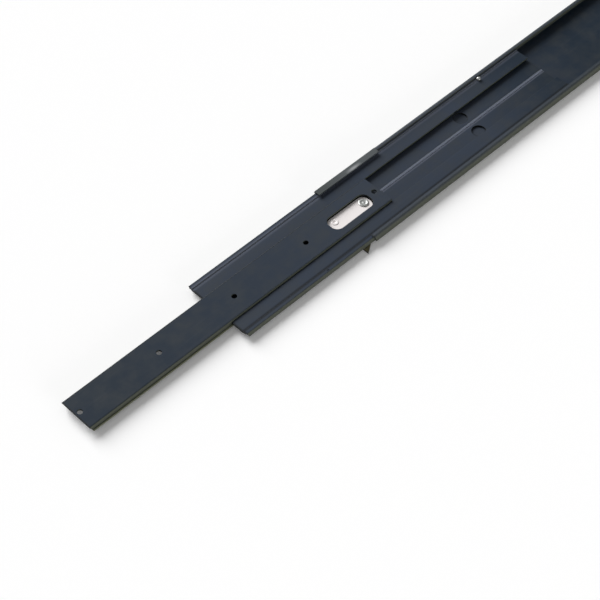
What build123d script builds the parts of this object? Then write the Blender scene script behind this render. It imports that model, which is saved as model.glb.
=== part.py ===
from build123d import *
import os

# Friction slide in three sections, drawn part way out. Millimetres, +Z up.
# The origin is on the flat cabinet face, on the centre line, level with the mouth of the
# cabinet channel. +X is the way the slide pulls out, and +Y is its near side.

os.makedirs("parts", exist_ok=True)

# Cabinet channel, the widest section
outer_length = 254.0
outer_width = 45.2
outer_sheet = 0.8
outer_bend = 1.4
outer_lip = 2.5
mouth_slant = 2.3
tongue_length = 12.5
tongue_width = 38.0
tongue_corner = 4.0
ear_front_x = 6.9
ear_rear_x = -2.0
ear_reach = 2.4
rear_tab_width = 16.0
rear_tab_height = 4.6
cabinet_hole_diameter = 4.5
cabinet_sink_diameter = 5.8
cabinet_sink_angle = 90
cabinet_hole_offset = 6.8
cabinet_rear_hole_end = 26.0

# Middle channel, whose rails stand a little above its ledges, under the cabinet channel's lips
middle_length = 250.2
middle_out = 90.6
middle_sheet = 0.9
ledge_rounding = 0.2
ledge_width = 10.9
rail_width = 2.6
rail_rise = 0.5
rail_slope = 0.15
middle_slant = 2.2
web_setback = 5.0
driver_hole_diameter = 8.0
driver_hole_end = 60.9
bead_width = 1.9
bead_groove_width = 1.3
bead_height = 0.4
bead_front_x = -20.8
dimple_diameter = 1.2
dimple_depth = 0.25
dimple_end = 58.2

# Chassis channel, the narrowest section
inner_length = 209.2
inner_rear_x = -25.9
inner_sheet = 1.0
inner_side_gap = 0.3
inner_height = 3.5
inner_foot = 0.9
inner_bend = 0.6
foot_bend = 0.3
inner_slant = 2.0
chassis_hole_diameter = 3.0
chassis_hole_count = 5
chassis_hole_end = 3.0

# Play between the sections
web_play = 0.1
side_play = 0.1
guide_play = 0.1
foot_play = 0.3
press_clearance = 0.02

# Guides beside the chassis channel's feet
guide_end = 6.5
guide_side_gap = 0.3
guide_top_gap = 0.1

# Stop for the middle channel on its way out
stop_plate_length = 45.4
stop_plate_width = 3.6
stop_plate_inset = 0.8
stop_plate_sheet = 0.6
stop_pin_end = 33.2
stop_pin_shank = 1.6
stop_pin_head = 2.4
stop_pin_overlap = 1.4
stop_pin_rail_gap = 0.25
stop_pin_below_plate = 0.1

# Bumper for the middle channel on its way in
bumper_thickness = 2.2
bumper_width = 13.0
bumper_height = 3.0
bumper_corner = 1.0
bumper_lift = 0.4
bumper_rivet = 2.0
bumper_rivet_head = 3.2
bumper_rivet_head_height = 0.6
bumper_recess = 2.6

# Lock spring in the chassis channel's window
window_length = 29.4
window_width = 10.2
window_x = -3.7
window_y = 1.1
window_corner = 4.2
leaf_sheet = 0.45
leaf_gap = 0.3
leaf_play = 0.15
lock_rivet_x = -14.3
lock_rivet_y = 0.7
lock_rivet_shank = 2.4
lock_rivet_head = 5.6
lock_rivet_head_height = 0.45
lock_rivet_rounding = 0.22
lock_rivet_play = 0.15
spacer_diameter = 5.0
button_x = 6.2
button_y = -0.4
button_diameter = 4.2
button_height = 0.25
button_shank = 1.8
button_mark = 1.4
button_mark_depth = 0.35

# Heights from the cabinet face up, through sheets and plays
middle_floor_z = outer_sheet + web_play
middle_web_z = middle_floor_z + middle_sheet
inner_floor_z = middle_web_z + web_play
foot_top_z = inner_floor_z + inner_sheet
inner_top_z = inner_floor_z + inner_height
inner_web_underside_z = inner_top_z - inner_sheet
ledge_underside_z = foot_top_z + foot_play
ledge_z = ledge_underside_z + middle_sheet
rail_top_z = ledge_z + rail_rise
rail_underside_z = rail_top_z - middle_sheet
lip_underside_z = rail_top_z + web_play
outer_height = lip_underside_z + outer_sheet

# Cabinet channel's places
wall_y = outer_width / 2
wall_inside_y = wall_y - outer_sheet
lip_y = wall_y - outer_lip
outer_rear_x = -outer_length

# Middle channel's places
middle_y = wall_inside_y - side_play
middle_inside_y = middle_y - middle_sheet
middle_corner = outer_bend - outer_sheet - side_play
rail_y = middle_y - rail_width
rail_foot_y = rail_y - rail_slope
ledge_y = middle_y - ledge_width
middle_rear_x = middle_out - middle_length
driver_hole_x = middle_rear_x + driver_hole_end
dimple_x = middle_out - dimple_end

# Chassis channel's places
inner_y = ledge_y - inner_side_gap
foot_y = inner_y + inner_foot
inner_out = inner_rear_x + inner_length
chassis_hole_pitch = (inner_length - 2 * chassis_hole_end) / (chassis_hole_count - 1)

# Stop pin's and lock's places
stop_plate_outside_y = wall_y - stop_plate_inset
stop_plate_y = stop_plate_outside_y - stop_plate_width
stop_pin_x = middle_rear_x + stop_pin_end
stop_pin_y = stop_plate_y + stop_pin_overlap - stop_pin_head / 2
stop_pin_shoulder_z = rail_top_z + stop_pin_rail_gap
stop_plate_top_z = outer_height + stop_plate_sheet
stop_pin_top_z = stop_plate_top_z - stop_pin_below_plate
middle_travel_out = -stop_plate_length - stop_pin_x - stop_pin_head / 2
lock_rivet_top_z = inner_web_underside_z - lock_rivet_play
lock_rivet_under_z = lock_rivet_top_z - lock_rivet_head_height
leaf_top_z = lock_rivet_under_z - leaf_play
leaf_underside_z = leaf_top_z - leaf_sheet
spacer_top_z = leaf_underside_z - leaf_play

# The front cabinet holes lie under the driver holes when the middle channel is fully out
cabinet_front_hole_x = driver_hole_x + middle_travel_out
cabinet_rear_hole_x = outer_rear_x + cabinet_rear_hole_end
cabinet_hole_span = cabinet_front_hole_x - cabinet_rear_hole_x
cabinet_hole_middle = (cabinet_front_hole_x + cabinet_rear_hole_x) / 2

# Rear tab's and bumper's places
rear_tab_front_x = outer_rear_x + outer_sheet
bumper_front_x = rear_tab_front_x + bumper_thickness
bumper_floor_z = outer_sheet + bumper_lift
bumper_rivet_z = bumper_floor_z + bumper_height / 2


# Cabinet channel: one bent sheet with narrow lips turned in over the middle channel's rails
with BuildPart() as outer_channel:
    with BuildSketch(Plane.YZ.offset(outer_rear_x)) as outer_section:
        with BuildLine():
            FilletPolyline(
                (-lip_y, outer_height),
                (-wall_y, outer_height),
                (-wall_y, 0),
                (wall_y, 0),
                (wall_y, outer_height),
                (lip_y, outer_height),
                radius=outer_bend,
            )
            offset(amount=outer_sheet, side=Side.LEFT)
        make_face()
    extrude(amount=outer_length)
    # The wall ends slope back towards the web
    with BuildSketch(Plane.XZ) as mouth_cut:
        with BuildLine():
            Polyline(
                (0, outer_height),
                (mouth_slant, outer_height),
                (mouth_slant, 0),
                (-mouth_slant, 0),
                close=True,
            )
        make_face()
    extrude(amount=outer_width, both=True, mode=Mode.SUBTRACT)
    # A tongue of the web reaches out under the middle channel, with one pointed ear
    with BuildSketch(Plane.XY) as tongue:
        with Locations((tongue_length / 2 - mouth_slant, 0)):
            Rectangle(tongue_length + 2 * mouth_slant, tongue_width)
        chamfer(tongue.vertices().group_by(Axis.X)[-1], tongue_corner)
    extrude(amount=outer_sheet)
    with BuildSketch(Plane.XY) as ear:
        with BuildLine():
            Polyline(
                (ear_rear_x, tongue_width / 2),
                (ear_front_x, tongue_width / 2),
                (ear_front_x, wall_y + ear_reach),
                close=True,
            )
        make_face()
    extrude(amount=outer_sheet)
    # The rear tab is bent up from the web to carry the bumper
    with BuildSketch(Plane.YZ.offset(outer_rear_x)) as rear_tab:
        with Locations((0, rear_tab_height / 2)):
            RectangleRounded(rear_tab_width, rear_tab_height, outer_sheet)
        with Locations((0, outer_sheet / 2)):
            Rectangle(rear_tab_width, outer_sheet)
    extrude(amount=outer_sheet)
    with BuildSketch(Plane.YZ.offset(outer_rear_x)) as bumper_hole:
        with Locations((0, bumper_rivet_z)):
            Circle(bumper_rivet / 2 + press_clearance)
    extrude(amount=outer_sheet, mode=Mode.SUBTRACT)
    # Countersunk holes for the cabinet screws
    with Locations((cabinet_hole_middle, 0, outer_sheet)):
        with GridLocations(cabinet_hole_span, 2 * cabinet_hole_offset, 2, 2):
            CounterSinkHole(
                cabinet_hole_diameter / 2,
                cabinet_sink_diameter / 2,
                depth=outer_sheet,
                counter_sink_angle=cabinet_sink_angle,
            )
outer_channel.part.label = "outer_channel"
export_step(outer_channel.part, "parts/outer_channel.step")


# Stop plate, welded flat on the far lip; the stop pin meets its rear end
with BuildPart() as stop_plate:
    with BuildSketch(Plane.XY.offset(outer_height)) as stop_plate_outline:
        with Locations((-stop_plate_length / 2, stop_plate_width / 2 - stop_plate_outside_y)):
            Rectangle(stop_plate_length, stop_plate_width)
    extrude(amount=stop_plate_sheet)
stop_plate.part.label = "stop_plate"
export_step(stop_plate.part, "parts/stop_plate.step")


# Rubber bumper in front of the rear tab, and the rivet that holds it there
with BuildPart() as rear_bumper:
    with BuildSketch(Plane.YZ.offset(rear_tab_front_x)) as bumper_outline:
        with Locations((0, bumper_rivet_z)):
            RectangleRounded(bumper_width, bumper_height, bumper_corner)
            Circle(bumper_rivet / 2 + press_clearance, mode=Mode.SUBTRACT)
    extrude(amount=bumper_thickness)
    with BuildSketch(Plane.YZ.offset(bumper_front_x - bumper_rivet_head_height)) as recess:
        with Locations((0, bumper_rivet_z)):
            Circle(bumper_recess / 2)
    extrude(amount=bumper_rivet_head_height, mode=Mode.SUBTRACT)
rear_bumper.part.label = "rear_bumper"
export_step(rear_bumper.part, "parts/rear_bumper.step")

recessed_head = bumper_recess - 2 * press_clearance
with BuildPart() as bumper_rivet_piece:
    with BuildSketch(Plane.YZ.offset(outer_rear_x)) as rivet_shank:
        with Locations((0, bumper_rivet_z)):
            Circle(bumper_rivet / 2)
    extrude(amount=bumper_front_x - outer_rear_x)
    with BuildSketch(Plane.YZ.offset(outer_rear_x)) as rivet_tail:
        with Locations((0, bumper_rivet_z)):
            Circle(bumper_rivet_head / 2)
    extrude(amount=-bumper_rivet_head_height)
    with BuildSketch(Plane.YZ.offset(bumper_front_x - bumper_rivet_head_height)) as rivet_head:
        with Locations((0, bumper_rivet_z)):
            Circle(recessed_head / 2)
    extrude(amount=bumper_rivet_head_height)
bumper_rivet_piece.part.label = "bumper_rivet"
export_step(bumper_rivet_piece.part, "parts/bumper_rivet.step")


# Middle channel: ledges turned in over the inner's feet, and rails raised along both sides
with BuildPart() as middle_channel:
    with BuildSketch(Plane.YZ.offset(middle_rear_x)) as middle_section:
        with BuildLine():
            Polyline(
                (0, middle_floor_z),
                (middle_y, middle_floor_z),
                (middle_y, rail_top_z),
                (rail_y, rail_top_z),
                (rail_foot_y, ledge_z),
                (ledge_y, ledge_z),
                (ledge_y, ledge_underside_z),
                (rail_y, ledge_underside_z),
                (rail_y, rail_underside_z),
                (middle_inside_y, rail_underside_z),
                (middle_inside_y, middle_web_z),
                (0, middle_web_z),
                close=True,
            )
        make_face()
        fillet(middle_section.vertices().group_by(Axis.Y)[-1].sort_by(Axis.X)[0], ledge_rounding)
        fillet(middle_section.vertices().group_by(Axis.X)[0].sort_by(Axis.Y)[-1], ledge_rounding)
        fillet(middle_section.vertices().group_by(Axis.X)[-1], middle_corner)
        mirror(about=Plane.YZ)
    extrude(amount=middle_length)
    # Front end: the web is cut back between the walls, and the wall ends slope
    with BuildSketch(Plane.XY.offset(middle_floor_z)) as web_cut:
        with Locations((middle_out - web_setback / 2, 0)):
            Rectangle(web_setback, 2 * middle_inside_y)
    extrude(amount=middle_sheet, mode=Mode.SUBTRACT)
    for side in (1, -1):
        with BuildSketch(Plane.XZ.offset(side * middle_inside_y)) as wall_cut:
            with BuildLine():
                Polyline(
                    (middle_out, rail_top_z),
                    (middle_out, middle_floor_z),
                    (middle_out - middle_slant, middle_floor_z),
                    close=True,
                )
            make_face()
        extrude(amount=side * middle_sheet, mode=Mode.SUBTRACT)
    # A bead pressed up along the middle of the web
    with BuildSketch(Plane.YZ.offset(bead_front_x)) as bead:
        with BuildLine():
            ThreePointArc(
                (-bead_width / 2, middle_web_z),
                (0, middle_web_z + bead_height),
                (bead_width / 2, middle_web_z),
            )
            Line((bead_width / 2, middle_web_z), (-bead_width / 2, middle_web_z))
        make_face()
    extrude(amount=middle_rear_x - bead_front_x)
    with BuildSketch(Plane.YZ.offset(bead_front_x)) as bead_groove:
        with BuildLine():
            ThreePointArc(
                (-bead_groove_width / 2, middle_floor_z),
                (0, middle_floor_z + bead_height),
                (bead_groove_width / 2, middle_floor_z),
            )
            Line((bead_groove_width / 2, middle_floor_z), (-bead_groove_width / 2, middle_floor_z))
        make_face()
    extrude(amount=middle_rear_x - bead_front_x, mode=Mode.SUBTRACT)
    # Holes for a screwdriver, the lock rivet and the stop pin, and a small mark on one rail
    with BuildSketch(Plane.XY.offset(middle_floor_z)) as web_holes:
        with Locations((driver_hole_x, cabinet_hole_offset), (driver_hole_x, -cabinet_hole_offset)):
            Circle(driver_hole_diameter / 2)
        with Locations((lock_rivet_x, lock_rivet_y)):
            Circle(lock_rivet_shank / 2 + press_clearance)
    extrude(amount=middle_sheet, mode=Mode.SUBTRACT)
    with BuildSketch(Plane.XY.offset(rail_top_z)) as stop_pin_hole:
        with Locations((stop_pin_x, -stop_pin_y)):
            Circle(stop_pin_shank / 2 + press_clearance)
    extrude(amount=-rail_rise - middle_sheet, mode=Mode.SUBTRACT)
    with BuildSketch(Plane.XY.offset(rail_top_z)) as dimple:
        with Locations((dimple_x, middle_inside_y)):
            Circle(dimple_diameter / 2)
    extrude(amount=-dimple_depth, mode=Mode.SUBTRACT)
middle_channel.part.label = "middle_channel"
export_step(middle_channel.part, "parts/middle_channel.step")


# Stop pin in the far ledge; its head stands above the rail and clears the outer lip
with BuildPart() as stop_pin:
    with BuildSketch(Plane.XY.offset(ledge_underside_z)) as pin_shank:
        with Locations((stop_pin_x, -stop_pin_y)):
            Circle(stop_pin_shank / 2)
    extrude(amount=stop_pin_shoulder_z - ledge_underside_z)
    with BuildSketch(Plane.XY.offset(stop_pin_shoulder_z)) as pin_head:
        with Locations((stop_pin_x, -stop_pin_y)):
            Circle(stop_pin_head / 2)
    extrude(amount=stop_pin_top_z - stop_pin_shoulder_z)
stop_pin.part.label = "stop_pin"
export_step(stop_pin.part, "parts/stop_pin.step")


# Plastic guides under the ledges, which hold the chassis channel's feet in line
guide_inside_y = foot_y + guide_play
guide_outside_y = middle_inside_y - guide_side_gap
guide_length = middle_length - 2 * guide_end
for side, name in ((1, "inner_guide_near"), (-1, "inner_guide_far")):
    with BuildPart() as inner_guide:
        with BuildSketch(Plane.XY.offset(middle_web_z)) as guide_outline:
            with Locations((middle_out - middle_length / 2, side * (guide_inside_y + guide_outside_y) / 2)):
                Rectangle(guide_length, guide_outside_y - guide_inside_y)
        extrude(amount=ledge_underside_z - guide_top_gap - middle_web_z)
    inner_guide.part.label = name
    export_step(inner_guide.part, f"parts/{name}.step")


# Chassis channel: hat section with narrow feet, five holes and the lock window
with BuildPart() as inner_channel:
    with BuildSketch(Plane.YZ.offset(inner_rear_x)) as inner_section:
        with BuildLine():
            FilletPolyline(
                (-foot_y, foot_top_z),
                (-inner_y, foot_top_z),
                (-inner_y, inner_top_z),
                (inner_y, inner_top_z),
                (inner_y, foot_top_z),
                (foot_y, foot_top_z),
                radius=[foot_bend, inner_bend, inner_bend, foot_bend],
            )
            offset(amount=inner_sheet, side=Side.RIGHT)
        make_face()
    extrude(amount=inner_length)
    with BuildSketch(Plane.XZ) as front_slope:
        with BuildLine():
            Polyline(
                (inner_out, inner_top_z),
                (inner_out, inner_floor_z),
                (inner_out - inner_slant, inner_floor_z),
                close=True,
            )
        make_face()
    extrude(amount=2 * foot_y, both=True, mode=Mode.SUBTRACT)
    with BuildSketch(Plane.XY.offset(inner_web_underside_z)) as inner_cuts:
        for index in range(chassis_hole_count):
            with Locations((inner_out - chassis_hole_end - index * chassis_hole_pitch, 0)):
                Circle(chassis_hole_diameter / 2)
        with Locations((window_x, window_y)):
            RectangleRounded(window_length, window_width, window_corner)
    extrude(amount=inner_sheet, mode=Mode.SUBTRACT)
inner_channel.part.label = "inner_channel"
export_step(inner_channel.part, "parts/inner_channel.step")


# Lock spring: a flat leaf below the window, carried by the middle channel at its rear end
with BuildPart() as lock_spring:
    with BuildSketch(Plane.XY.offset(leaf_underside_z)) as leaf_outline:
        with Locations((window_x, window_y)):
            RectangleRounded(
                window_length - 2 * leaf_gap, window_width - 2 * leaf_gap, window_corner - leaf_gap
            )
        with Locations((lock_rivet_x, lock_rivet_y)):
            Circle(lock_rivet_shank / 2 + lock_rivet_play, mode=Mode.SUBTRACT)
        with Locations((button_x, button_y)):
            Circle(button_shank / 2 + press_clearance, mode=Mode.SUBTRACT)
    extrude(amount=leaf_sheet)
lock_spring.part.label = "lock_spring"
export_step(lock_spring.part, "parts/lock_spring.step")


# Spacer that lifts the lock spring off the middle channel's web
with BuildPart() as lock_spacer:
    with BuildSketch(Plane.XY.offset(middle_web_z)) as spacer_outline:
        with Locations((lock_rivet_x, lock_rivet_y)):
            Circle(spacer_diameter / 2)
            Circle(lock_rivet_shank / 2 + press_clearance, mode=Mode.SUBTRACT)
    extrude(amount=spacer_top_z - middle_web_z)
lock_spacer.part.label = "lock_spacer"
export_step(lock_spacer.part, "parts/lock_spacer.step")


# Rivet through the lock spring, the spacer and the middle channel's web
with BuildPart() as lock_rivet:
    with BuildSketch(Plane.XY.offset(middle_floor_z)) as lock_shank:
        with Locations((lock_rivet_x, lock_rivet_y)):
            Circle(lock_rivet_shank / 2)
    extrude(amount=lock_rivet_under_z - middle_floor_z)
    with BuildSketch(Plane.XY.offset(lock_rivet_under_z)) as lock_head:
        with Locations((lock_rivet_x, lock_rivet_y)):
            Circle(lock_rivet_head / 2)
    extrude(amount=lock_rivet_head_height)
    fillet(lock_rivet.edges().group_by(Axis.Z)[-1], lock_rivet_rounding)
lock_rivet.part.label = "lock_rivet"
export_step(lock_rivet.part, "parts/lock_rivet.step")


# Thumb button staked in the free end of the lock spring
with BuildPart() as lock_button:
    with BuildSketch(Plane.XY.offset(leaf_underside_z)) as button_stem:
        with Locations((button_x, button_y)):
            Circle(button_shank / 2)
    extrude(amount=leaf_sheet)
    with BuildSketch(Plane.XY.offset(leaf_top_z)) as button_disc:
        with Locations((button_x, button_y)):
            Circle(button_diameter / 2)
    extrude(amount=button_height)
    with BuildSketch(Plane.XY.offset(leaf_top_z + button_height)) as button_dot:
        with Locations((button_x, button_y)):
            Circle(button_mark / 2)
    extrude(amount=-button_mark_depth, mode=Mode.SUBTRACT)
lock_button.part.label = "lock_button"
export_step(lock_button.part, "parts/lock_button.step")

print("middle channel travels out", middle_travel_out, "and in", middle_out)
print("front cabinet holes at", cabinet_front_hole_x, "and driver holes at", driver_hole_x)
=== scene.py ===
# %% [markdown]
# # Dressing a friction slide
# The slide is three dark steel channels that run in each other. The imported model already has
# their true shapes, so this script adds the finish, the small turned and pressed pieces, the
# light and the camera. Everything is in metres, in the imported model's own frame: +X is the way
# the slide pulls out, +Y its near side, +Z away from the cabinet wall.

from collections import namedtuple

import bpy
import numpy as np
from mathutils import Matrix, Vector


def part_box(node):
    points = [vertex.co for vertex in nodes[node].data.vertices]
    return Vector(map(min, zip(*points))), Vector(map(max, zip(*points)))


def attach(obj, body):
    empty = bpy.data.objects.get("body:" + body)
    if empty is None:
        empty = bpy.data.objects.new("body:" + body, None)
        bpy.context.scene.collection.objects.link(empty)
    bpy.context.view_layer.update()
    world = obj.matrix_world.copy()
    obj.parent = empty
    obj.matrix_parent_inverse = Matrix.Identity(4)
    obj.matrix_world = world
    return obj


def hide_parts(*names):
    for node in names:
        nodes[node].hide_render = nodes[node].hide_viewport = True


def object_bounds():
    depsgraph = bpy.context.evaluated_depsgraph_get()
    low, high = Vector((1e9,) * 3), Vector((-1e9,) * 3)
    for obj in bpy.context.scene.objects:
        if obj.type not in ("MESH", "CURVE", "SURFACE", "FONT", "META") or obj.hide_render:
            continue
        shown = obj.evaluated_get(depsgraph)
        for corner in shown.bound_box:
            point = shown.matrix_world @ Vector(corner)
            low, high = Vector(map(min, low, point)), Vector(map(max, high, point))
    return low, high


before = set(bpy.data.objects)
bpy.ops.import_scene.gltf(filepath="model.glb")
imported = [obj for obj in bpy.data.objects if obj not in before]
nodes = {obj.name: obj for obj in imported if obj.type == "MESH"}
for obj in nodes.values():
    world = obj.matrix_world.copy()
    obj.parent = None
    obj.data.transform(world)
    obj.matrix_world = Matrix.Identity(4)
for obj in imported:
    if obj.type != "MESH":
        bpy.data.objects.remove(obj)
cad_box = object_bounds()
scene = bpy.context.scene

# %% [markdown]
# ## The camera
# The photograph looks down on the slide from its near front corner. Its camera was worked out
# from the equal steps of the chassis holes: a long lens, level with the horizon, with no shift.
# A camera looks along its own -Z, so its matrix takes three columns: right, up and back. They
# are worked out from two angles, because a camera turned by hand would only come near.

# %% The photograph's camera
MM = 0.001
CAMERA_PLACE = np.array([451.4, 425.9, 704.0]) * MM
CAMERA_TURN = np.radians(44.55)
CAMERA_TILT = np.radians(51.16)
LENS = 106.83
SENSOR = 36.0
NEAREST_SEEN = 0.01


def look_axes(turn, tilt):
    """Right, up and back of a level camera: back = (sin turn cos tilt, cos turn cos tilt, sin tilt),
    right lies flat at a right angle to it, and up = back x right."""
    back = np.array([np.sin(turn) * np.cos(tilt), np.cos(turn) * np.cos(tilt), np.sin(tilt)])
    right = np.array([-np.cos(turn), np.sin(turn), 0.0])
    return right, np.cross(back, right), back


def place_camera():
    """The photograph's camera, made the scene's camera."""
    lens = bpy.data.cameras.new("photo_camera")
    lens.lens = LENS
    lens.sensor_width = SENSOR
    lens.sensor_fit = "HORIZONTAL"
    lens.clip_start = NEAREST_SEEN
    camera = bpy.data.objects.new("photo_camera", lens)
    scene.collection.objects.link(camera)
    matrix = np.eye(4)
    matrix[:3, 0], matrix[:3, 1], matrix[:3, 2] = look_axes(CAMERA_TURN, CAMERA_TILT)
    matrix[:3, 3] = CAMERA_PLACE
    camera.matrix_world = Matrix(matrix.tolist())
    scene.camera = camera


place_camera()
print("camera at", np.round(CAMERA_PLACE, 3), "with a lens of", LENS, "mm")

# %% [markdown]
# ## Floor and light
# A small catalogue picture like this is taken on white paper with one broad soft light. The
# shadow falls to the near side, so the light stands on the far side. A sun lamp with a wide
# angle gives the same soft shadow along the whole slide, and a pale world fills it in. A low
# lamp from the near side stands for the white card that throws light back at the slide's side
# walls. The floor is white paper: the camera sees a little light of its own on it, so that it
# reads as white and still keeps the shadow.

# %% Colours as they are written on screen
SCREEN_TOE = 0.04045


def linear(red, green, blue):
    """Linear colour of a screen colour given in 0 to 255: ((c + 0.055) / 1.055) ^ 2.4 per channel,
    or c / 12.92 up to SCREEN_TOE."""
    c = np.array([red, green, blue]) / 255
    low = c / 12.92
    high = ((c + 0.055) / 1.055) ** 2.4
    return tuple(np.where(c <= SCREEN_TOE, low, high).tolist()) + (1.0,)


PAPER = linear(250, 250, 250)
WHITE = linear(255, 255, 255)
print("white paper gives back", round(PAPER[0], 3), "of the light")

# %% Floor of white paper
FLOOR_SIZE = 6.0
FLOOR_GLOW = 0.1
PAPER_ROUGHNESS = 0.9


def paper_material():
    """White paper that glows by FLOOR_GLOW where the camera looks at it."""
    paper = bpy.data.materials.new("white_paper")
    paper.use_nodes = True
    tree = paper.node_tree
    shader = tree.nodes["Principled BSDF"]
    shader.inputs["Base Color"].default_value = PAPER
    shader.inputs["Roughness"].default_value = PAPER_ROUGHNESS
    shader.inputs["Specular IOR Level"].default_value = 0.0
    shader.inputs["Emission Color"].default_value = WHITE
    path = tree.nodes.new("ShaderNodeLightPath")
    glow = tree.nodes.new("ShaderNodeMath")
    glow.operation = "MULTIPLY"
    glow.inputs[1].default_value = FLOOR_GLOW
    tree.links.new(path.outputs["Is Camera Ray"], glow.inputs[0])
    tree.links.new(glow.outputs[0], shader.inputs["Emission Strength"])
    return paper


def plain_floor():
    """A square of white paper at the slide's lowest level."""
    half = FLOOR_SIZE / 2
    low = cad_box[0][2]
    mesh = bpy.data.meshes.new("floor")
    corners = [(-half, -half, low), (half, -half, low), (half, half, low), (-half, half, low)]
    mesh.from_pydata(corners, [], [(0, 1, 2, 3)])
    mesh.materials.append(paper_material())
    floor = bpy.data.objects.new("floor", mesh)
    scene.collection.objects.link(floor)


plain_floor()
print("floor lies at", cad_box[0][2], "m")

# %% Lamps and world
SUN_HEIGHT = np.radians(33)
SUN_STRENGTH = 4.0
SUN_ANGLE = np.radians(42)
CARD_HEIGHT = np.radians(8)
CARD_STRENGTH = 0.95
CARD_ANGLE = np.radians(24)
WORLD_STRENGTH = 0.2
FAR_SIDE = -1
NEAR_SIDE = 1
STRAIGHT_UP = np.radians(90)


def soft_lamp(name, strength, angle, height, side):
    """A wide sun lamp at a height over the floor. A lamp shines down until it is turned, so it is
    turned about X by side x (height - 90 degrees)."""
    lamp = bpy.data.lights.new(name, "SUN")
    lamp.energy = strength
    lamp.angle = angle
    sun = bpy.data.objects.new(name, lamp)
    scene.collection.objects.link(sun)
    sun.rotation_euler = (side * (height - STRAIGHT_UP), 0, 0)


def pale_world():
    """An even white sky."""
    world = bpy.data.worlds.new("pale_world")
    scene.world = world
    world.use_nodes = True
    sky = world.node_tree.nodes["Background"]
    sky.inputs["Color"].default_value = WHITE
    sky.inputs["Strength"].default_value = WORLD_STRENGTH


soft_lamp("soft_sun", SUN_STRENGTH, SUN_ANGLE, SUN_HEIGHT, FAR_SIDE)
soft_lamp("white_card", CARD_STRENGTH, CARD_ANGLE, CARD_HEIGHT, NEAR_SIDE)
pale_world()
scene.view_settings.view_transform = "Standard"
print("lamps:", ", ".join(sorted(lamp.name for lamp in bpy.data.lights)))

# %% [markdown]
# ## Effects that several finishes share
# Grain, rub marks, lines along the slide and worn edges come back on several finishes. They could be
# drawn anew in each material, but one node group with named sockets keeps an effect the same wherever
# it is placed. A group returns only values that change over the surface; the shader itself
# stays in each material.

# %% A new node group
def new_group(name, inputs, outputs):
    """A shader node group with its sockets: inputs as (name, type, default), outputs as
    (name, type)."""
    group = bpy.data.node_groups.new(name, "ShaderNodeTree")
    for label, kind, value in inputs:
        socket = group.interface.new_socket(label, in_out="INPUT", socket_type="NodeSocket" + kind)
        socket.default_value = value
    for label, kind in outputs:
        group.interface.new_socket(label, in_out="OUTPUT", socket_type="NodeSocket" + kind)
    start = group.nodes.new("NodeGroupInput")
    end = group.nodes.new("NodeGroupOutput")
    return group, start, end


print("ready: new_group")

# %% Nodes and sums
def add_node(tree, kind, **values):
    """A shader node with properties and, under inputs, default values by socket name or number."""
    node = tree.nodes.new("ShaderNode" + kind)
    for key, value in values.items():
        if key == "inputs":
            for socket, amount in value.items():
                node.inputs[socket].default_value = amount
        else:
            setattr(node, key, value)
    return node


def math_node(tree, operation, first, second=None, clamp=False):
    """One Math node; first and second are sockets or numbers."""
    node = add_node(tree, "Math", operation=operation, use_clamp=clamp)
    for index, value in enumerate((first, second)):
        if value is None:
            continue
        if isinstance(value, (int, float)):
            node.inputs[index].default_value = value
        else:
            tree.links.new(value, node.inputs[index])
    return node.outputs[0]


print("ready: add_node, math_node")

# %% Soft patches, and the place on the object
def soft_step(tree, value, start, gain):
    """(value - start) x gain, held between 0 and 1: noise becomes patches with soft borders."""
    return math_node(tree, "MULTIPLY", math_node(tree, "SUBTRACT", value, start), gain, clamp=True)


def place_parts(tree):
    """X, Y and Z of the place on the object, in metres, as three sockets."""
    place = add_node(tree, "TexCoord")
    parts = add_node(tree, "SeparateXYZ")
    tree.links.new(place.outputs["Object"], parts.inputs[0])
    return parts.outputs


print("ready: soft_step, place_parts")

# %% Fine grain of the coating and cloudy patches
GRAIN_DETAIL = 2.0
CLOUD_DETAIL = 3.0
NOISE_ROUGHNESS = 0.55


def coating_grain_group():
    """Grain: fine noise at Grain Size. Clouds: soft noise at Cloud Size. Both come out in 0 to 1
    around 0.5, read from Object coordinates in metres, at a scale of 1 / size."""
    group, start, end = new_group(
        "Coating grain",
        [("Grain Size", "Float", 0.0004), ("Cloud Size", "Float", 0.02)],
        [("Grain", "Float"), ("Clouds", "Float")],
    )
    place = add_node(group, "TexCoord")
    noises = [("Grain Size", "Grain", GRAIN_DETAIL), ("Cloud Size", "Clouds", CLOUD_DETAIL)]
    for size, output, detail in noises:
        scale = math_node(group, "DIVIDE", 1.0, start.outputs[size])
        noise = add_node(group, "TexNoise", inputs={"Detail": detail, "Roughness": NOISE_ROUGHNESS})
        group.links.new(place.outputs["Object"], noise.inputs["Vector"])
        group.links.new(scale, noise.inputs["Scale"])
        group.links.new(noise.outputs["Fac"], end.inputs[output])
    return group


GRAIN = coating_grain_group()
print("made the group", GRAIN.name)

# %% Long rub marks
MARK_DETAIL = 3.0
MARK_ROUGHNESS = 0.6
MARK_GAIN = 2.5


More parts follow.
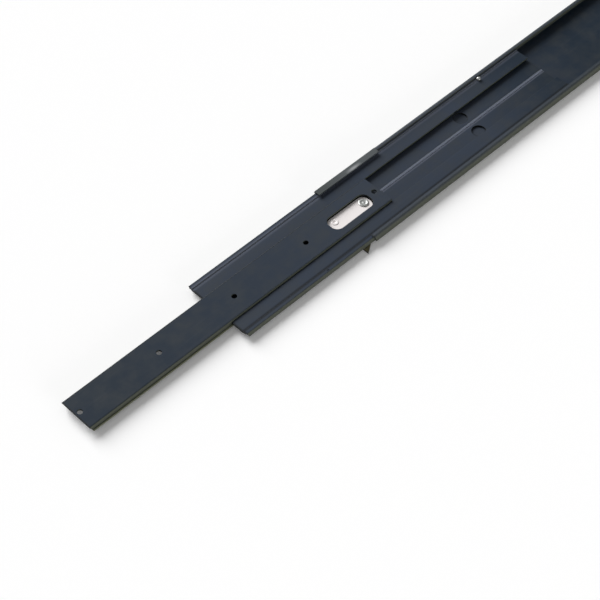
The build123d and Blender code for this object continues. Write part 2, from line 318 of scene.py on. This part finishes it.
def rub_marks_group():
    """Marks: noise drawn out Stretch times along X, (noise - Threshold) x MARK_GAIN in 0 to 1."""
    group, start, end = new_group(
        "Rub marks",
        [("Width", "Float", 0.0008), ("Stretch", "Float", 60.0), ("Threshold", "Float", 0.6)],
        [("Marks", "Float")],
    )
    parts = place_parts(group)
    along = math_node(group, "DIVIDE", parts["X"], start.outputs["Stretch"])
    joined = add_node(group, "CombineXYZ")
    group.links.new(along, joined.inputs["X"])
    group.links.new(parts["Y"], joined.inputs["Y"])
    group.links.new(parts["Z"], joined.inputs["Z"])
    noise = add_node(group, "TexNoise", inputs={"Detail": MARK_DETAIL, "Roughness": MARK_ROUGHNESS})
    group.links.new(joined.outputs[0], noise.inputs["Vector"])
    group.links.new(math_node(group, "DIVIDE", 1.0, start.outputs["Width"]), noise.inputs["Scale"])
    marks = soft_step(group, noise.outputs["Fac"], start.outputs["Threshold"], MARK_GAIN)
    group.links.new(marks, end.inputs["Marks"])
    return group


RUBS = rub_marks_group()
print("made the group", RUBS.name)

# %% Lines along the slide, for wear and for painted light and shade
def line_mask_group():
    """Line: 1 on the line y = Place (mirrored when Both Sides is 1), falling to 0 over Half Width,
    and only between Lowest Z and Highest Z. The Mix node's inputs 2 and 3 are its plain numbers."""
    group, start, end = new_group(
        "Line mask",
        [("Place", "Float", 0.0), ("Half Width", "Float", 0.0005), ("Both Sides", "Float", 0.0),
         ("Lowest Z", "Float", 0.0), ("Highest Z", "Float", 1.0)],
        [("Line", "Float")],
    )
    parts = place_parts(group)
    either = add_node(group, "Mix", data_type="FLOAT")
    group.links.new(start.outputs["Both Sides"], either.inputs[0])
    group.links.new(parts["Y"], either.inputs[2])
    group.links.new(math_node(group, "ABSOLUTE", parts["Y"]), either.inputs[3])
    offset = math_node(group, "SUBTRACT", either.outputs[0], start.outputs["Place"])
    near = math_node(group, "DIVIDE", math_node(group, "ABSOLUTE", offset), start.outputs["Half Width"])
    line = math_node(group, "SUBTRACT", 1.0, near, clamp=True)
    above = math_node(group, "GREATER_THAN", parts["Z"], start.outputs["Lowest Z"])
    below = math_node(group, "LESS_THAN", parts["Z"], start.outputs["Highest Z"])
    band = math_node(group, "MULTIPLY", above, below)
    group.links.new(math_node(group, "MULTIPLY", line, band), end.inputs["Line"])
    return group


LINE_MASK = line_mask_group()
print("made the group", LINE_MASK.name)

# %% A change along the slide
def along_group():
    """Part: (x - Start) / (End - Start), held between 0 and 1, and 0 below Lowest Z."""
    group, start, end = new_group(
        "Along the slide",
        [("Start", "Float", 0.0), ("End", "Float", 0.1), ("Lowest Z", "Float", -1.0)],
        [("Part", "Float")],
    )
    parts = place_parts(group)
    gone = math_node(group, "SUBTRACT", parts["X"], start.outputs["Start"])
    whole = math_node(group, "SUBTRACT", start.outputs["End"], start.outputs["Start"])
    gone_part = math_node(group, "DIVIDE", gone, whole, clamp=True)
    above = math_node(group, "GREATER_THAN", parts["Z"], start.outputs["Lowest Z"])
    group.links.new(math_node(group, "MULTIPLY", gone_part, above), end.inputs["Part"])
    return group


ALONG = along_group()
print("made the group", ALONG.name)

# %% Side walls and cut ends
def walls_group():
    """Wall: normal Y squared, 1 on the long side walls. Cut End: normal X squared, 1 on the sawn
    or punched ends."""
    group, start, end = new_group("Walls", [], [("Wall", "Float"), ("Cut End", "Float")])
    face = add_node(group, "NewGeometry")
    parts = add_node(group, "SeparateXYZ")
    group.links.new(face.outputs["Normal"], parts.inputs[0])
    for axis, label in (("Y", "Wall"), ("X", "Cut End")):
        squared = math_node(group, "MULTIPLY", parts.outputs[axis], parts.outputs[axis])
        group.links.new(squared, end.inputs[label])
    return group


WALLS = walls_group()
print("made the group", WALLS.name)

# %% The place round a hole
def hole_group():
    """Inside: 1 within Radius of the point (Centre X, |Y| = Centre Y), measured level:
    sqrt((x - Centre X) squared + (|y| - Centre Y) squared)."""
    group, start, end = new_group(
        "Hole",
        [("Centre X", "Float", 0.0), ("Centre Y", "Float", 0.0), ("Radius", "Float", 0.004)],
        [("Inside", "Float")],
    )
    parts = place_parts(group)
    away_x = math_node(group, "SUBTRACT", parts["X"], start.outputs["Centre X"])
    folded = math_node(group, "ABSOLUTE", parts["Y"])
    away_y = math_node(group, "SUBTRACT", folded, start.outputs["Centre Y"])
    square_x, square_y = (math_node(group, "MULTIPLY", away, away) for away in (away_x, away_y))
    distance = math_node(group, "SQRT", math_node(group, "ADD", square_x, square_y))
    inside = math_node(group, "LESS_THAN", distance, start.outputs["Radius"])
    group.links.new(inside, end.inputs["Inside"])
    return group


HOLE = hole_group()
print("made the group", HOLE.name)

# %% Worn edges
BEVEL_SAMPLES = 6


def edge_wear_group():
    """Edge: how far the normal of a slightly rounded edge turns from the flat one,
    (1 - rounded . flat) x Amount in 0 to 1. Normal is the rounded normal."""
    group, start, end = new_group(
        "Edge wear",
        [("Radius", "Float", 0.0002), ("Amount", "Float", 6.0)],
        [("Edge", "Float"), ("Normal", "Vector")],
    )
    rounded = add_node(group, "Bevel", samples=BEVEL_SAMPLES)
    group.links.new(start.outputs["Radius"], rounded.inputs["Radius"])
    flat = add_node(group, "NewGeometry")
    dot = add_node(group, "VectorMath", operation="DOT_PRODUCT")
    group.links.new(rounded.outputs[0], dot.inputs[0])
    group.links.new(flat.outputs["Normal"], dot.inputs[1])
    turned_away = math_node(group, "SUBTRACT", 1.0, dot.outputs["Value"])
    edge = math_node(group, "MULTIPLY", turned_away, start.outputs["Amount"], clamp=True)
    group.links.new(edge, end.inputs["Edge"])
    group.links.new(rounded.outputs[0], end.inputs["Normal"])
    return group


EDGES = edge_wear_group()
print("node groups:", ", ".join(sorted(group.name for group in bpy.data.node_groups)))

# %% [markdown]
# ## Steps that every finish takes
# A finish here is a stack: a ground colour, then one layer after another, each with a mask and a
# colour of its own. Roughness follows the same grain as the colour, and so does the bump, so
# that a mark is seen in the gloss as well. These steps are the same for film, metal and plastic.

# %% Placing a group and laying colours over each other
def place_group(tree, group, **values):
    """A group node in a material, with its inputs set by name, underscores for spaces."""
    node = tree.nodes.new("ShaderNodeGroup")
    node.node_tree = group
    for label, value in values.items():
        node.inputs[label.replace("_", " ")].default_value = value
    return node


def mix_colour(tree, amount, first, second):
    """Mix node of two colours; each is a socket or a colour, and amount is a socket. A Mix node
    has sockets for every kind of value: the colours are inputs 6 and 7 and output 2."""
    node = add_node(tree, "Mix", data_type="RGBA")
    for index, value in ((0, amount), (6, first), (7, second)):
        if isinstance(value, bpy.types.NodeSocket):
            tree.links.new(value, node.inputs[index])
        else:
            node.inputs[index].default_value = value
    return node.outputs[2]


def stack_colours(tree, ground, layers):
    """Ground colour with layers over it: each (mask, strength, colour) mixes its colour in by
    mask x strength."""
    colour = ground
    for mask, strength, layer_colour in layers:
        colour = mix_colour(tree, math_node(tree, "MULTIPLY", mask, strength), colour, layer_colour)
    return colour


print("ready: place_group, mix_colour, stack_colours")

# %% A new material, its roughness and its bump
def grainy_roughness(tree, grain, base, spread):
    """Roughness: base + grain x spread."""
    return math_node(tree, "ADD", math_node(tree, "MULTIPLY", grain.outputs["Grain"], spread), base)


def link_bump(tree, shader, height, strength, distance, normal=None):
    """A Bump of the height on the shader's Normal, over a rounded normal where one is given."""
    bump = add_node(tree, "Bump", inputs={"Strength": strength, "Distance": distance})
    tree.links.new(height, bump.inputs["Height"])
    if normal is not None:
        tree.links.new(normal, bump.inputs["Normal"])
    tree.links.new(bump.outputs[0], shader.inputs["Normal"])


def new_material(name, metallic, specular=0.5):
    """A material with its Principled shader and the constant sockets set on it."""
    material = bpy.data.materials.new(name)
    material.use_nodes = True
    shader = material.node_tree.nodes["Principled BSDF"]
    shader.inputs["Metallic"].default_value = metallic
    shader.inputs["Specular IOR Level"].default_value = specular
    return material, material.node_tree, shader


print("ready: grainy_roughness, link_bump, new_material")

# %% [markdown]
# ## The dark coating
# The channels are steel with a thin baked slate-blue dry-film coating, which is what they slide
# on. It is satin and a little cloudy, and in the photograph a pale haze grows along each
# channel. Painted sheen makes the side walls lighter and more olive. Painted shade darkens the
# cut ends, the last millimetre at the front, the inner channel's far bend and the ground round
# the driver holes, and dirt with painted shade darkens the corner before the near rail. Faint
# rub marks pale the film; the lines along the bead and the far rail are painted highlights.
# Painted light brightens the inner channel's feet and the ear at the outer channel's mouth, and
# the lip tops get a paler band. Marks painted by hand would belong to one mesh only, so one
# function makes the coating for each channel, with that channel's own lines.

# %% Colours of the coating
SLATE = linear(33, 44, 56)
HAZE = linear(55, 63, 76)
WARM_PATCH = linear(62, 65, 66)
# Painted sheen: the side walls are made lighter and more olive, as they look when they catch light
# thrown up from the white floor.
WALL_SHEEN_OLIVE = linear(86, 90, 80)
# Pale line colour: real polish in the faint rub marks, painted highlight on the bead and the far rail.
POLISH_AND_HIGHLIGHT = linear(130, 136, 153)
# A paler band along the tops of both lips.
LIP_BAND_PALE = linear(88, 92, 94)
# Painted light on the ear at the outer channel's mouth, which sits in the channel's shade.
EAR_LIGHT = linear(122, 117, 88)
# Dark colour for painted shade at the far bend and round the driver holes, and for dirt with painted
# shade in the corner before the near rail.
SHADE_AND_DIRT = linear(24, 27, 30)
BARE_EDGE = linear(52, 56, 54)
# Painted shade on the ends that face +X, which the lamps hardly reach, and on the last millimetre at the
# front.
END_SHADE = linear(22, 24, 22)
# Painted light on the inner channel's feet, which sit in the shade of its walls.
FOOT_LIGHT = linear(108, 112, 92)
print("slate is", np.round(SLATE[:3], 3), "in linear light")

# %% Sizes and strengths of the coating's marks, sizes in metres
SLATE_GLOSS = 0.16
SLATE_GRAIN_SIZE = 0.00035
SLATE_CLOUD_SIZE = 0.009
SLATE_CLOUD_START = 0.38
SLATE_CLOUD_GAIN = 3.0
SLATE_CLOUD_STRENGTH = 0.42
SLATE_RUB_WIDTH = 0.002
SLATE_RUB_STRETCH = 40.0
SLATE_RUB_THRESHOLD = 0.55
RUB_SHINE = 0.3
RUB_PALENESS = 0.12
SLATE_EDGE_RADIUS = 0.00018
SLATE_EDGE_AMOUNT = 5.0
SLATE_EDGE_STRENGTH = 0.5
TIP_LENGTH = 0.0011
TIP_FULL_LENGTH = 0.0005
TIP_STRENGTH = 0.7
TONGUE_TOP = 0.001
# Strength of the painted shade round holes.
HOLE_SHADE_STRENGTH = 0.8
SLATE_ROUGHNESS = 0.34
SLATE_ROUGHNESS_SPREAD = 0.16
SHINE_SMOOTHNESS = 0.16
SLATE_BUMP = 0.12
SLATE_BUMP_HEIGHT = 0.00005
print("front ends are dark over", TIP_LENGTH / MM, "mm")

# %% The coating before it is rubbed, with painted sheen on its walls and painted shade at its ends
# Clear_x is where the haze starts and hazy_x where it is full, in metres along the slide.
Haze = namedtuple("Haze", "clear_x hazy_x strength")


def unrubbed_slate(tree, grain, shine, edges, front_x, haze):
    """Slate with haze that grows evenly from clear_x to hazy_x, warm clouds, painted sheen that makes
    the walls lighter and olive, painted shade on the cut ends and on the last millimetre before front_x,
    faint rub marks and bared edges."""
    hazy = place_group(tree, ALONG, Start=haze.clear_x, End=haze.hazy_x)
    clouds = soft_step(tree, grain.outputs["Clouds"], SLATE_CLOUD_START, SLATE_CLOUD_GAIN)
    walls = place_group(tree, WALLS)
    # The last millimetre before front_x is darkened with painted shade.
    tip_start = front_x - TIP_LENGTH
    tip_end = front_x - TIP_FULL_LENGTH
    tip = place_group(tree, ALONG, Start=tip_start, End=tip_end, Lowest_Z=TONGUE_TOP)
    return stack_colours(tree, SLATE, [
        (hazy.outputs["Part"], haze.strength, HAZE),
        (clouds, SLATE_CLOUD_STRENGTH, WARM_PATCH),
        # Painted sheen on the side walls, from the Wall mask.
        (walls.outputs["Wall"], 1.0, WALL_SHEEN_OLIVE),
        (walls.outputs["Cut End"], 1.0, END_SHADE),
        (tip.outputs["Part"], TIP_STRENGTH, END_SHADE),
        (shine, RUB_PALENESS, POLISH_AND_HIGHLIGHT),
        (edges.outputs["Edge"], SLATE_EDGE_STRENGTH, BARE_EDGE),
    ])


print("haze is given by", ", ".join(Haze._fields))

# %% Lines of colour, and painted shade round holes
# Place is a line's y, and low and high are the z that it lies between, in metres. Strength is a
# part of 1, and with both_sides at 1 the line lies at -place as well.
ColourLine = namedtuple("ColourLine", "place half_width low high strength both_sides colour")
ShadedHole = namedtuple("ShadedHole", "x y radius")


def marked_slate(tree, colour, shine, colour_lines, shaded_holes):
    """The coating's lines of colour, of which the pale polish-and-highlight ones shine as well, and
    painted shade at holes.
    """
    for line in colour_lines:
        mask = place_group(
            tree, LINE_MASK, Place=line.place, Half_Width=line.half_width,
            Both_Sides=line.both_sides, Lowest_Z=line.low, Highest_Z=line.high,
        )
        amount = math_node(tree, "MULTIPLY", mask.outputs["Line"], line.strength)
        colour = mix_colour(tree, amount, colour, line.colour)
        if line.colour is POLISH_AND_HIGHLIGHT:
            shine = math_node(tree, "MAXIMUM", shine, amount)
    for hole in shaded_holes:
        mask = place_group(tree, HOLE, Centre_X=hole.x, Centre_Y=hole.y, Radius=hole.radius)
        colour = stack_colours(tree, colour, [(mask.outputs["Inside"], HOLE_SHADE_STRENGTH, SHADE_AND_DIRT)])
    return colour, shine


print("a worn line is given by", ", ".join(ColourLine._fields))

# %% The coating of one channel
def slate_coating(name, front_x, haze, colour_lines, shaded_holes=()):
    """Satin slate coating of one channel. Roughness: SLATE_ROUGHNESS + grain x
    SLATE_ROUGHNESS_SPREAD - shine x SHINE_SMOOTHNESS."""
    material, tree, shader = new_material(name, metallic=0.0, specular=SLATE_GLOSS)
    grain = place_group(tree, GRAIN, Grain_Size=SLATE_GRAIN_SIZE, Cloud_Size=SLATE_CLOUD_SIZE)
    rubs = place_group(
        tree, RUBS, Width=SLATE_RUB_WIDTH, Stretch=SLATE_RUB_STRETCH, Threshold=SLATE_RUB_THRESHOLD
    )
    edges = place_group(tree, EDGES, Radius=SLATE_EDGE_RADIUS, Amount=SLATE_EDGE_AMOUNT)
    shine = math_node(tree, "MULTIPLY", rubs.outputs["Marks"], RUB_SHINE)
    colour = unrubbed_slate(tree, grain, shine, edges, front_x, haze)
    colour, shine = marked_slate(tree, colour, shine, colour_lines, shaded_holes)
    tree.links.new(colour, shader.inputs["Base Color"])
    rough = grainy_roughness(tree, grain, SLATE_ROUGHNESS, SLATE_ROUGHNESS_SPREAD)
    smoother = math_node(tree, "MULTIPLY", shine, SHINE_SMOOTHNESS)
    tree.links.new(math_node(tree, "SUBTRACT", rough, smoother), shader.inputs["Roughness"])
    link_bump(
        tree, shader, grain.outputs["Grain"], SLATE_BUMP, SLATE_BUMP_HEIGHT, edges.outputs["Normal"]
    )
    return material


print("ready: slate_coating")

# %% Where each channel is worn, and where light and shade are painted on it
def node_span(name, axis):
    """Lowest and highest of a CAD node along one axis, in metres."""
    low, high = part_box(name)
    return low[axis], high[axis]


X = 0
Z = 2
floor_z = cad_box[0][2]
inner_front = node_span("inner_channel", X)[1]
middle_front = node_span("middle_channel", X)[1]
inner_top = node_span("inner_channel", Z)[1]
middle_low, middle_top = node_span("middle_channel", Z)
outer_top = node_span("outer_channel", Z)[1]

# Painted highlight along the bead of the middle channel.
bead_highlight = ColourLine(
    place=0.0005, half_width=0.0014, low=middle_low + 0.0007, high=middle_low + 0.0016,
    strength=0.8, both_sides=0.0, colour=POLISH_AND_HIGHLIGHT,
)
# Painted highlight on the far rail, which also lifts the shadow that the lip and the stop plate cast
# there.
far_rail_light = ColourLine(
    place=-0.0188, half_width=0.0018, low=middle_top - 0.0006, high=middle_top + 0.0001,
    strength=0.45, both_sides=0.0, colour=POLISH_AND_HIGHLIGHT,
)
# A dark line in the corner before the near rail: dirt and painted shade.
rail_corner_dirt_and_shade = ColourLine(
    place=0.0190, half_width=0.0014, low=middle_top - 0.0006, high=middle_top + 0.0001,
    strength=1.0, both_sides=0.0, colour=SHADE_AND_DIRT,
)
# Painted light: the feet are made lighter, as if they were not in the shade of the walls.
foot_light = ColourLine(
    place=0.0114, half_width=0.0020, low=0.0, high=inner_top - 0.0024,
    strength=1.0, both_sides=1.0, colour=FOOT_LIGHT,
)
# Painted shade on the inner channel's far bend, which takes away the highlight the lamp puts there.
far_bend_shade = ColourLine(
    place=-0.0104, half_width=0.0009, low=inner_top - 0.001, high=inner_top + 0.0001,
    strength=0.9, both_sides=0.0, colour=SHADE_AND_DIRT,
)
# Painted light on the ear, lighter than the shade it sits in.
ear_light = ColourLine(
    place=0.0225, half_width=0.0050, low=floor_z + 0.0007, high=floor_z + 0.0009,
    strength=1.0, both_sides=0.0, colour=EAR_LIGHT,
)
# A paler band along both lip tops.
lip_band = ColourLine(
    place=0.0213, half_width=0.0018, low=outer_top - 0.0012, high=outer_top + 0.0001,
    strength=0.45, both_sides=1.0, colour=LIP_BAND_PALE,
)
# Painted shade round the driver holes, which makes them look deeper.
driver_holes = ShadedHole(x=-0.0987, y=0.0068, radius=0.0042)
tops = [round(top / MM, 2) for top in (inner_top, middle_top, outer_top)]
print("inner, middle and outer channel reach up to", tops, "mm")

# %% Coating of the three channels
outer_slate = slate_coating(
    "slate_outer", front_x=0.0, haze=Haze(clear_x=-0.19, hazy_x=-0.1, strength=1.0),
    colour_lines=[lip_band, ear_light],
)
middle_slate = slate_coating(
    "slate_middle", front_x=middle_front, haze=Haze(clear_x=-0.16, hazy_x=-0.1, strength=0.9),
    colour_lines=[bead_highlight, far_rail_light, rail_corner_dirt_and_shade], shaded_holes=[driver_holes],
)
inner_slate = slate_coating(
    "slate_inner", front_x=inner_front, haze=Haze(clear_x=0.16, hazy_x=-0.02, strength=0.85),
    colour_lines=[foot_light, far_bend_shade],
)
print("slate coating made for three channels")

# %% [markdown]
# ## Bright metal
# The lock spring and its button are bright spring steel, painted near white with hardly any metal
# in the shader, so that the colour stands in for their reflection of the light. The small turned
# pieces are zinc plated. The stop plate is a satin grey: duller towards the mouth, with one painted
# highlight spot. A metal could be a mirror with noise in its roughness alone, but under a broad
# soft light the eye sees mostly cloudy patches and fine lines from rolling, so these are in the
# colour.

# %% Colours and marks of bright metal, sizes in metres
# Bright spring steel painted near white, standing in for its reflection of the light.
BRIGHT_REFLECTION = linear(253, 247, 246)
BRIGHT_SHADE = linear(240, 234, 232)
ZINC = linear(196, 198, 196)
ZINC_SHADE = linear(164, 167, 164)
STEEL_GRAIN_SIZE = 0.0005
STEEL_CLOUD_SIZE = 0.006
STEEL_CLOUD_START = 0.45
STEEL_CLOUD_GAIN = 2.0
STEEL_CLOUD_STRENGTH = 0.4
STEEL_RUB_WIDTH = 0.0004
STEEL_RUB_STRETCH = 40.0
STEEL_RUB_THRESHOLD = 0.5
STEEL_EDGE_RADIUS = 0.0001
STEEL_ROUGHNESS_SPREAD = 0.12
STEEL_BUMP = 0.1
STEEL_BUMP_HEIGHT = 0.00003
print("fine lines on bright metal are", STEEL_RUB_WIDTH / MM, "mm wide")

# %% Bright steel
def bright_steel(name, roughness, streaks, bright, shade, metallic, wear=None):
    """Metal whose bright colour goes to its shade in cloudy patches and, where streaks is above 0,
    in fine lines along X. Wear is a function that lays more layers over the colour."""
    material, tree, shader = new_material(name, metallic=metallic)
    grain = place_group(tree, GRAIN, Grain_Size=STEEL_GRAIN_SIZE, Cloud_Size=STEEL_CLOUD_SIZE)
    rubs = place_group(
        tree, RUBS, Width=STEEL_RUB_WIDTH, Stretch=STEEL_RUB_STRETCH, Threshold=STEEL_RUB_THRESHOLD
    )
    patches = soft_step(tree, grain.outputs["Clouds"], STEEL_CLOUD_START, STEEL_CLOUD_GAIN)
    colour = stack_colours(tree, bright, [
        (patches, STEEL_CLOUD_STRENGTH, shade),
        (rubs.outputs["Marks"], streaks, shade),
    ])
    if wear is not None:
        colour = wear(tree, colour)
    tree.links.new(colour, shader.inputs["Base Color"])
    rough = grainy_roughness(tree, grain, roughness, STEEL_ROUGHNESS_SPREAD)
    tree.links.new(rough, shader.inputs["Roughness"])
    edges = place_group(tree, EDGES, Radius=STEEL_EDGE_RADIUS)
    link_bump(
        tree, shader, rubs.outputs["Marks"], STEEL_BUMP, STEEL_BUMP_HEIGHT, edges.outputs["Normal"]
    )
    return material


leaf_steel = bright_steel(
    "leaf_steel", roughness=0.34, streaks=0.1, bright=BRIGHT_REFLECTION, shade=BRIGHT_SHADE, metallic=0.05
)
turned_steel = bright_steel(
    "turned_steel", roughness=0.3, streaks=0.0, bright=ZINC, shade=ZINC_SHADE, metallic=0.6
)
print("bright steel made for the leaf and the turned pieces")

# %% Satin grey of the stop plate
SATIN = linear(90, 95, 97)
SATIN_SHADE = linear(72, 77, 79)
DULL = linear(62, 67, 66)
# Painted highlight: a pale spot where the satin plate catches the light.
SPOT_HIGHLIGHT = linear(186, 188, 190)
DULL_START_X = -0.02
DULL_END_X = -0.006
DULL_STRENGTH = 0.6
SPOT_REAR_X = (-0.033, -0.028)
SPOT_FRONT_X = (-0.021, -0.026)
SPOT_Y = -0.0192
SPOT_HALF_WIDTH = 0.0014
SPOT_STRENGTH = 0.7


def stop_plate_wear(tree, colour):
    """Duller from DULL_START_X to DULL_END_X. The painted highlight spot is the product of a rise along
    X at its rear, a fall at its front and a line along the plate."""
    mouth = place_group(tree, ALONG, Start=DULL_START_X, End=DULL_END_X)
    rise = place_group(tree, ALONG, Start=SPOT_REAR_X[0], End=SPOT_REAR_X[1])
    fall = place_group(tree, ALONG, Start=SPOT_FRONT_X[0], End=SPOT_FRONT_X[1])
    line = place_group(tree, LINE_MASK, Place=SPOT_Y, Half_Width=SPOT_HALF_WIDTH)
    length = math_node(tree, "MULTIPLY", rise.outputs["Part"], fall.outputs["Part"])
    spot = math_node(tree, "MULTIPLY", length, line.outputs["Line"])
    return stack_colours(tree, colour, [
        (mouth.outputs["Part"], DULL_STRENGTH, DULL),
        (spot, SPOT_STRENGTH, SPOT_HIGHLIGHT),
    ])


plate_steel = bright_steel(
    "plate_steel", roughness=0.4, streaks=0.3, bright=SATIN, shade=SATIN_SHADE, metallic=0.5,
    wear=stop_plate_wear,
)
print("satin grey made for the stop plate")

# %% [markdown]
# ## Turned pieces
# The lock rivet, the thumb button and the stop pin are small turned pieces, and the camera sees
# little but their heads: a rivet with a rolled rim round a dish, a button with a punched dot and
# a pin with a domed end. Each is a profile of radius and height turned round an upright axis.
# They stand in for the plain solids, at the same place and inside the same outline. A bevel on
# the plain solid would round its edges, but it couldn't make a dish or a dome.

# %% A profile turned round an upright axis
TURN_STEPS = 72


def turned_mesh(name, centre, radius, height):
    """Closed turned mesh: point k of ring j stands at centre + r_j (cos t_k, sin t_k), height z_j,
    with t_k = 2 pi k / TURN_STEPS. The profile runs from the top pole down to the bottom pole."""
    turn = np.linspace(0, 2 * np.pi, TURN_STEPS, endpoint=False)
    rings = np.stack([
        centre[0] + np.outer(radius[1:-1], np.cos(turn)),
        centre[1] + np.outer(radius[1:-1], np.sin(turn)),
        np.repeat(height[1:-1, None], TURN_STEPS, axis=1),
    ], axis=2)
    poles = [(centre[0], centre[1], height[0]), (centre[0], centre[1], height[-1])]
    points = np.concatenate([rings.reshape(-1, 3), poles])
    ring_count = len(radius) - 2
    here = np.arange(TURN_STEPS)
    after = np.roll(here, -1)
    starts = np.arange(ring_count - 1)[:, None] * TURN_STEPS
    quads = np.stack([
        here + starts, here + starts + TURN_STEPS, after + starts + TURN_STEPS, after + starts
    ], axis=2).reshape(-1, 4)
    top, bottom = ring_count * TURN_STEPS, ring_count * TURN_STEPS + 1
    last = (ring_count - 1) * TURN_STEPS
    cap = np.stack([np.full(TURN_STEPS, top), here, after], axis=1)
    base = np.stack([np.full(TURN_STEPS, bottom), after + last, here + last], axis=1)
    mesh = bpy.data.meshes.new(name)
    mesh.from_pydata(points.tolist(), [], quads.tolist() + cap.tolist() + base.tolist())
    mesh.shade_smooth()
    return mesh


print("turned pieces have", TURN_STEPS, "steps round")

# %% A turned piece in place of a plain solid
def turned(name, node, body, material, drops, rises):
    """Turned piece in place of a CAD node, round the middle of that node's box. In millimetres,
    drops are (radius, depth below the node's top) and rises (radius, height over its foot)."""
    low, high = (np.array(corner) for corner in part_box(node))
    profile = [(radius, high[2] / MM - drop) for radius, drop in drops]
    profile += [(radius, low[2] / MM + rise) for radius, rise in rises]
    radius, height = np.array(profile).T * MM
    mesh = turned_mesh(name, (low + high) / 2, radius, height)
    mesh.materials.append(material)
    piece = bpy.data.objects.new(name, mesh)
    scene.collection.objects.link(piece)
    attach(piece, body)
    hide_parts(node)
    print(name, "has", len(mesh.vertices), "points and stands up to", round(height[0] / MM, 2), "mm")
    return piece


print("ready: turned")

# %% Lock rivet with a rolled rim
RIVET_DISH = [(0.0, 0.1), (0.3, 0.12), (0.62, 0.25), (1.3, 0.25), (1.55, 0.17)]
RIVET_RIM = [(1.75, 0.05), (1.98, 0.0), (2.3, 0.0), (2.58, 0.06), (2.75, 0.17), (2.8, 0.3), (2.74, 0.45)]
RIVET_NECK = [(1.2, 0.45), (1.2, 0.5)]
RIVET_FOOT = [(1.2, 0.05), (1.15, 0.0), (0.0, 0.0)]
rivet = turned(
    "lock_rivet_head", "lock_rivet", "middle", turned_steel,
    RIVET_DISH + RIVET_RIM + RIVET_NECK, RIVET_FOOT,
)

# %% Thumb button with a punched dot
BUTTON_DOT = [(0.0, 0.33), (0.5, 0.32), (0.66, 0.24), (0.74, 0.06)]
BUTTON_RING = [(0.88, 0.0), (1.75, 0.0), (1.98, 0.04), (2.08, 0.12), (2.1, 0.2), (2.1, 0.25)]
BUTTON_NECK = [(0.9, 0.25)]
BUTTON_FOOT = [(0.9, 0.03), (0.86, 0.0), (0.0, 0.0)]
button = turned(
    "thumb_button", "lock_button", "lock", leaf_steel,
    BUTTON_DOT + BUTTON_RING + BUTTON_NECK, BUTTON_FOOT,
)

# %% Stop pin with a domed end
PIN_DOME = [(0.0, 0.0), (0.35, 0.02), (0.65, 0.1), (0.9, 0.25), (1.06, 0.45), (1.15, 0.7), (1.2, 0.95)]
PIN_NECK = [(1.2, 1.15), (0.8, 1.15)]
PIN_FOOT = [(0.8, 0.05), (0.75, 0.0), (0.0, 0.0)]
pin = turned("stop_pin_head", "stop_pin", "middle", turned_steel, PIN_DOME + PIN_NECK, PIN_FOOT)

# %% [markdown]
# ## Plastic and rubber
# The guides are black low-friction plastic with a faint moulded grain, and the bumper is matt
# rubber with a dusty bloom. Both are hidden in the photograph but show from behind. A plain dark
# colour would look like a hole there, so the colour drifts in soft patches.

# %% Black plastic and rubber
MOULDED_GLOSS = 0.35
MOULDED_GRAIN_SIZE = 0.0003
MOULDED_CLOUD_SIZE = 0.008
MOULDED_CLOUD_START = 0.4
MOULDED_CLOUD_GAIN = 2.5
MOULDED_ROUGHNESS_SPREAD = 0.15
MOULDED_BUMP = 0.2
MOULDED_BUMP_HEIGHT = 0.00005


def dark_moulded(name, colour, bloom, roughness):
    """Dark moulded stuff: its colour drifts towards the bloom colour in soft patches."""
    material, tree, shader = new_material(name, metallic=0.0, specular=MOULDED_GLOSS)
    grain = place_group(tree, GRAIN, Grain_Size=MOULDED_GRAIN_SIZE, Cloud_Size=MOULDED_CLOUD_SIZE)
    patches = soft_step(tree, grain.outputs["Clouds"], MOULDED_CLOUD_START, MOULDED_CLOUD_GAIN)
    tree.links.new(mix_colour(tree, patches, colour, bloom), shader.inputs["Base Color"])
    rough = grainy_roughness(tree, grain, roughness, MOULDED_ROUGHNESS_SPREAD)
    tree.links.new(rough, shader.inputs["Roughness"])
    link_bump(tree, shader, grain.outputs["Grain"], MOULDED_BUMP, MOULDED_BUMP_HEIGHT)
    return material


guide_plastic = dark_moulded(
    "guide_plastic", colour=linear(24, 25, 27), bloom=linear(34, 35, 37), roughness=0.4
)
bumper_rubber = dark_moulded(
    "bumper_rubber", colour=linear(28, 28, 28), bloom=linear(44, 43, 42), roughness=0.65
)
print("plastic and rubber made")

# %% [markdown]
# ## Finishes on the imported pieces
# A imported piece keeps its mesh, and only the material in its slots changes. The three plain
# solids behind the turned pieces are hidden, so they need no finish.

# %% Give each node its finish
FINISHES = {
    "outer_channel": outer_slate,
    "stop_plate": plate_steel,
    "middle_channel": middle_slate,
    "inner_channel": inner_slate,
    "inner_guide_near": guide_plastic,
    "inner_guide_far": guide_plastic,
    "rear_bumper": bumper_rubber,
    "bumper_rivet": turned_steel,
    "lock_spacer": turned_steel,
    "lock_spring": leaf_steel,
}
for name, finish in FINISHES.items():
    for slot in nodes[name].material_slots:
        slot.material = finish
print("finishes given to", len(FINISHES), "nodes")
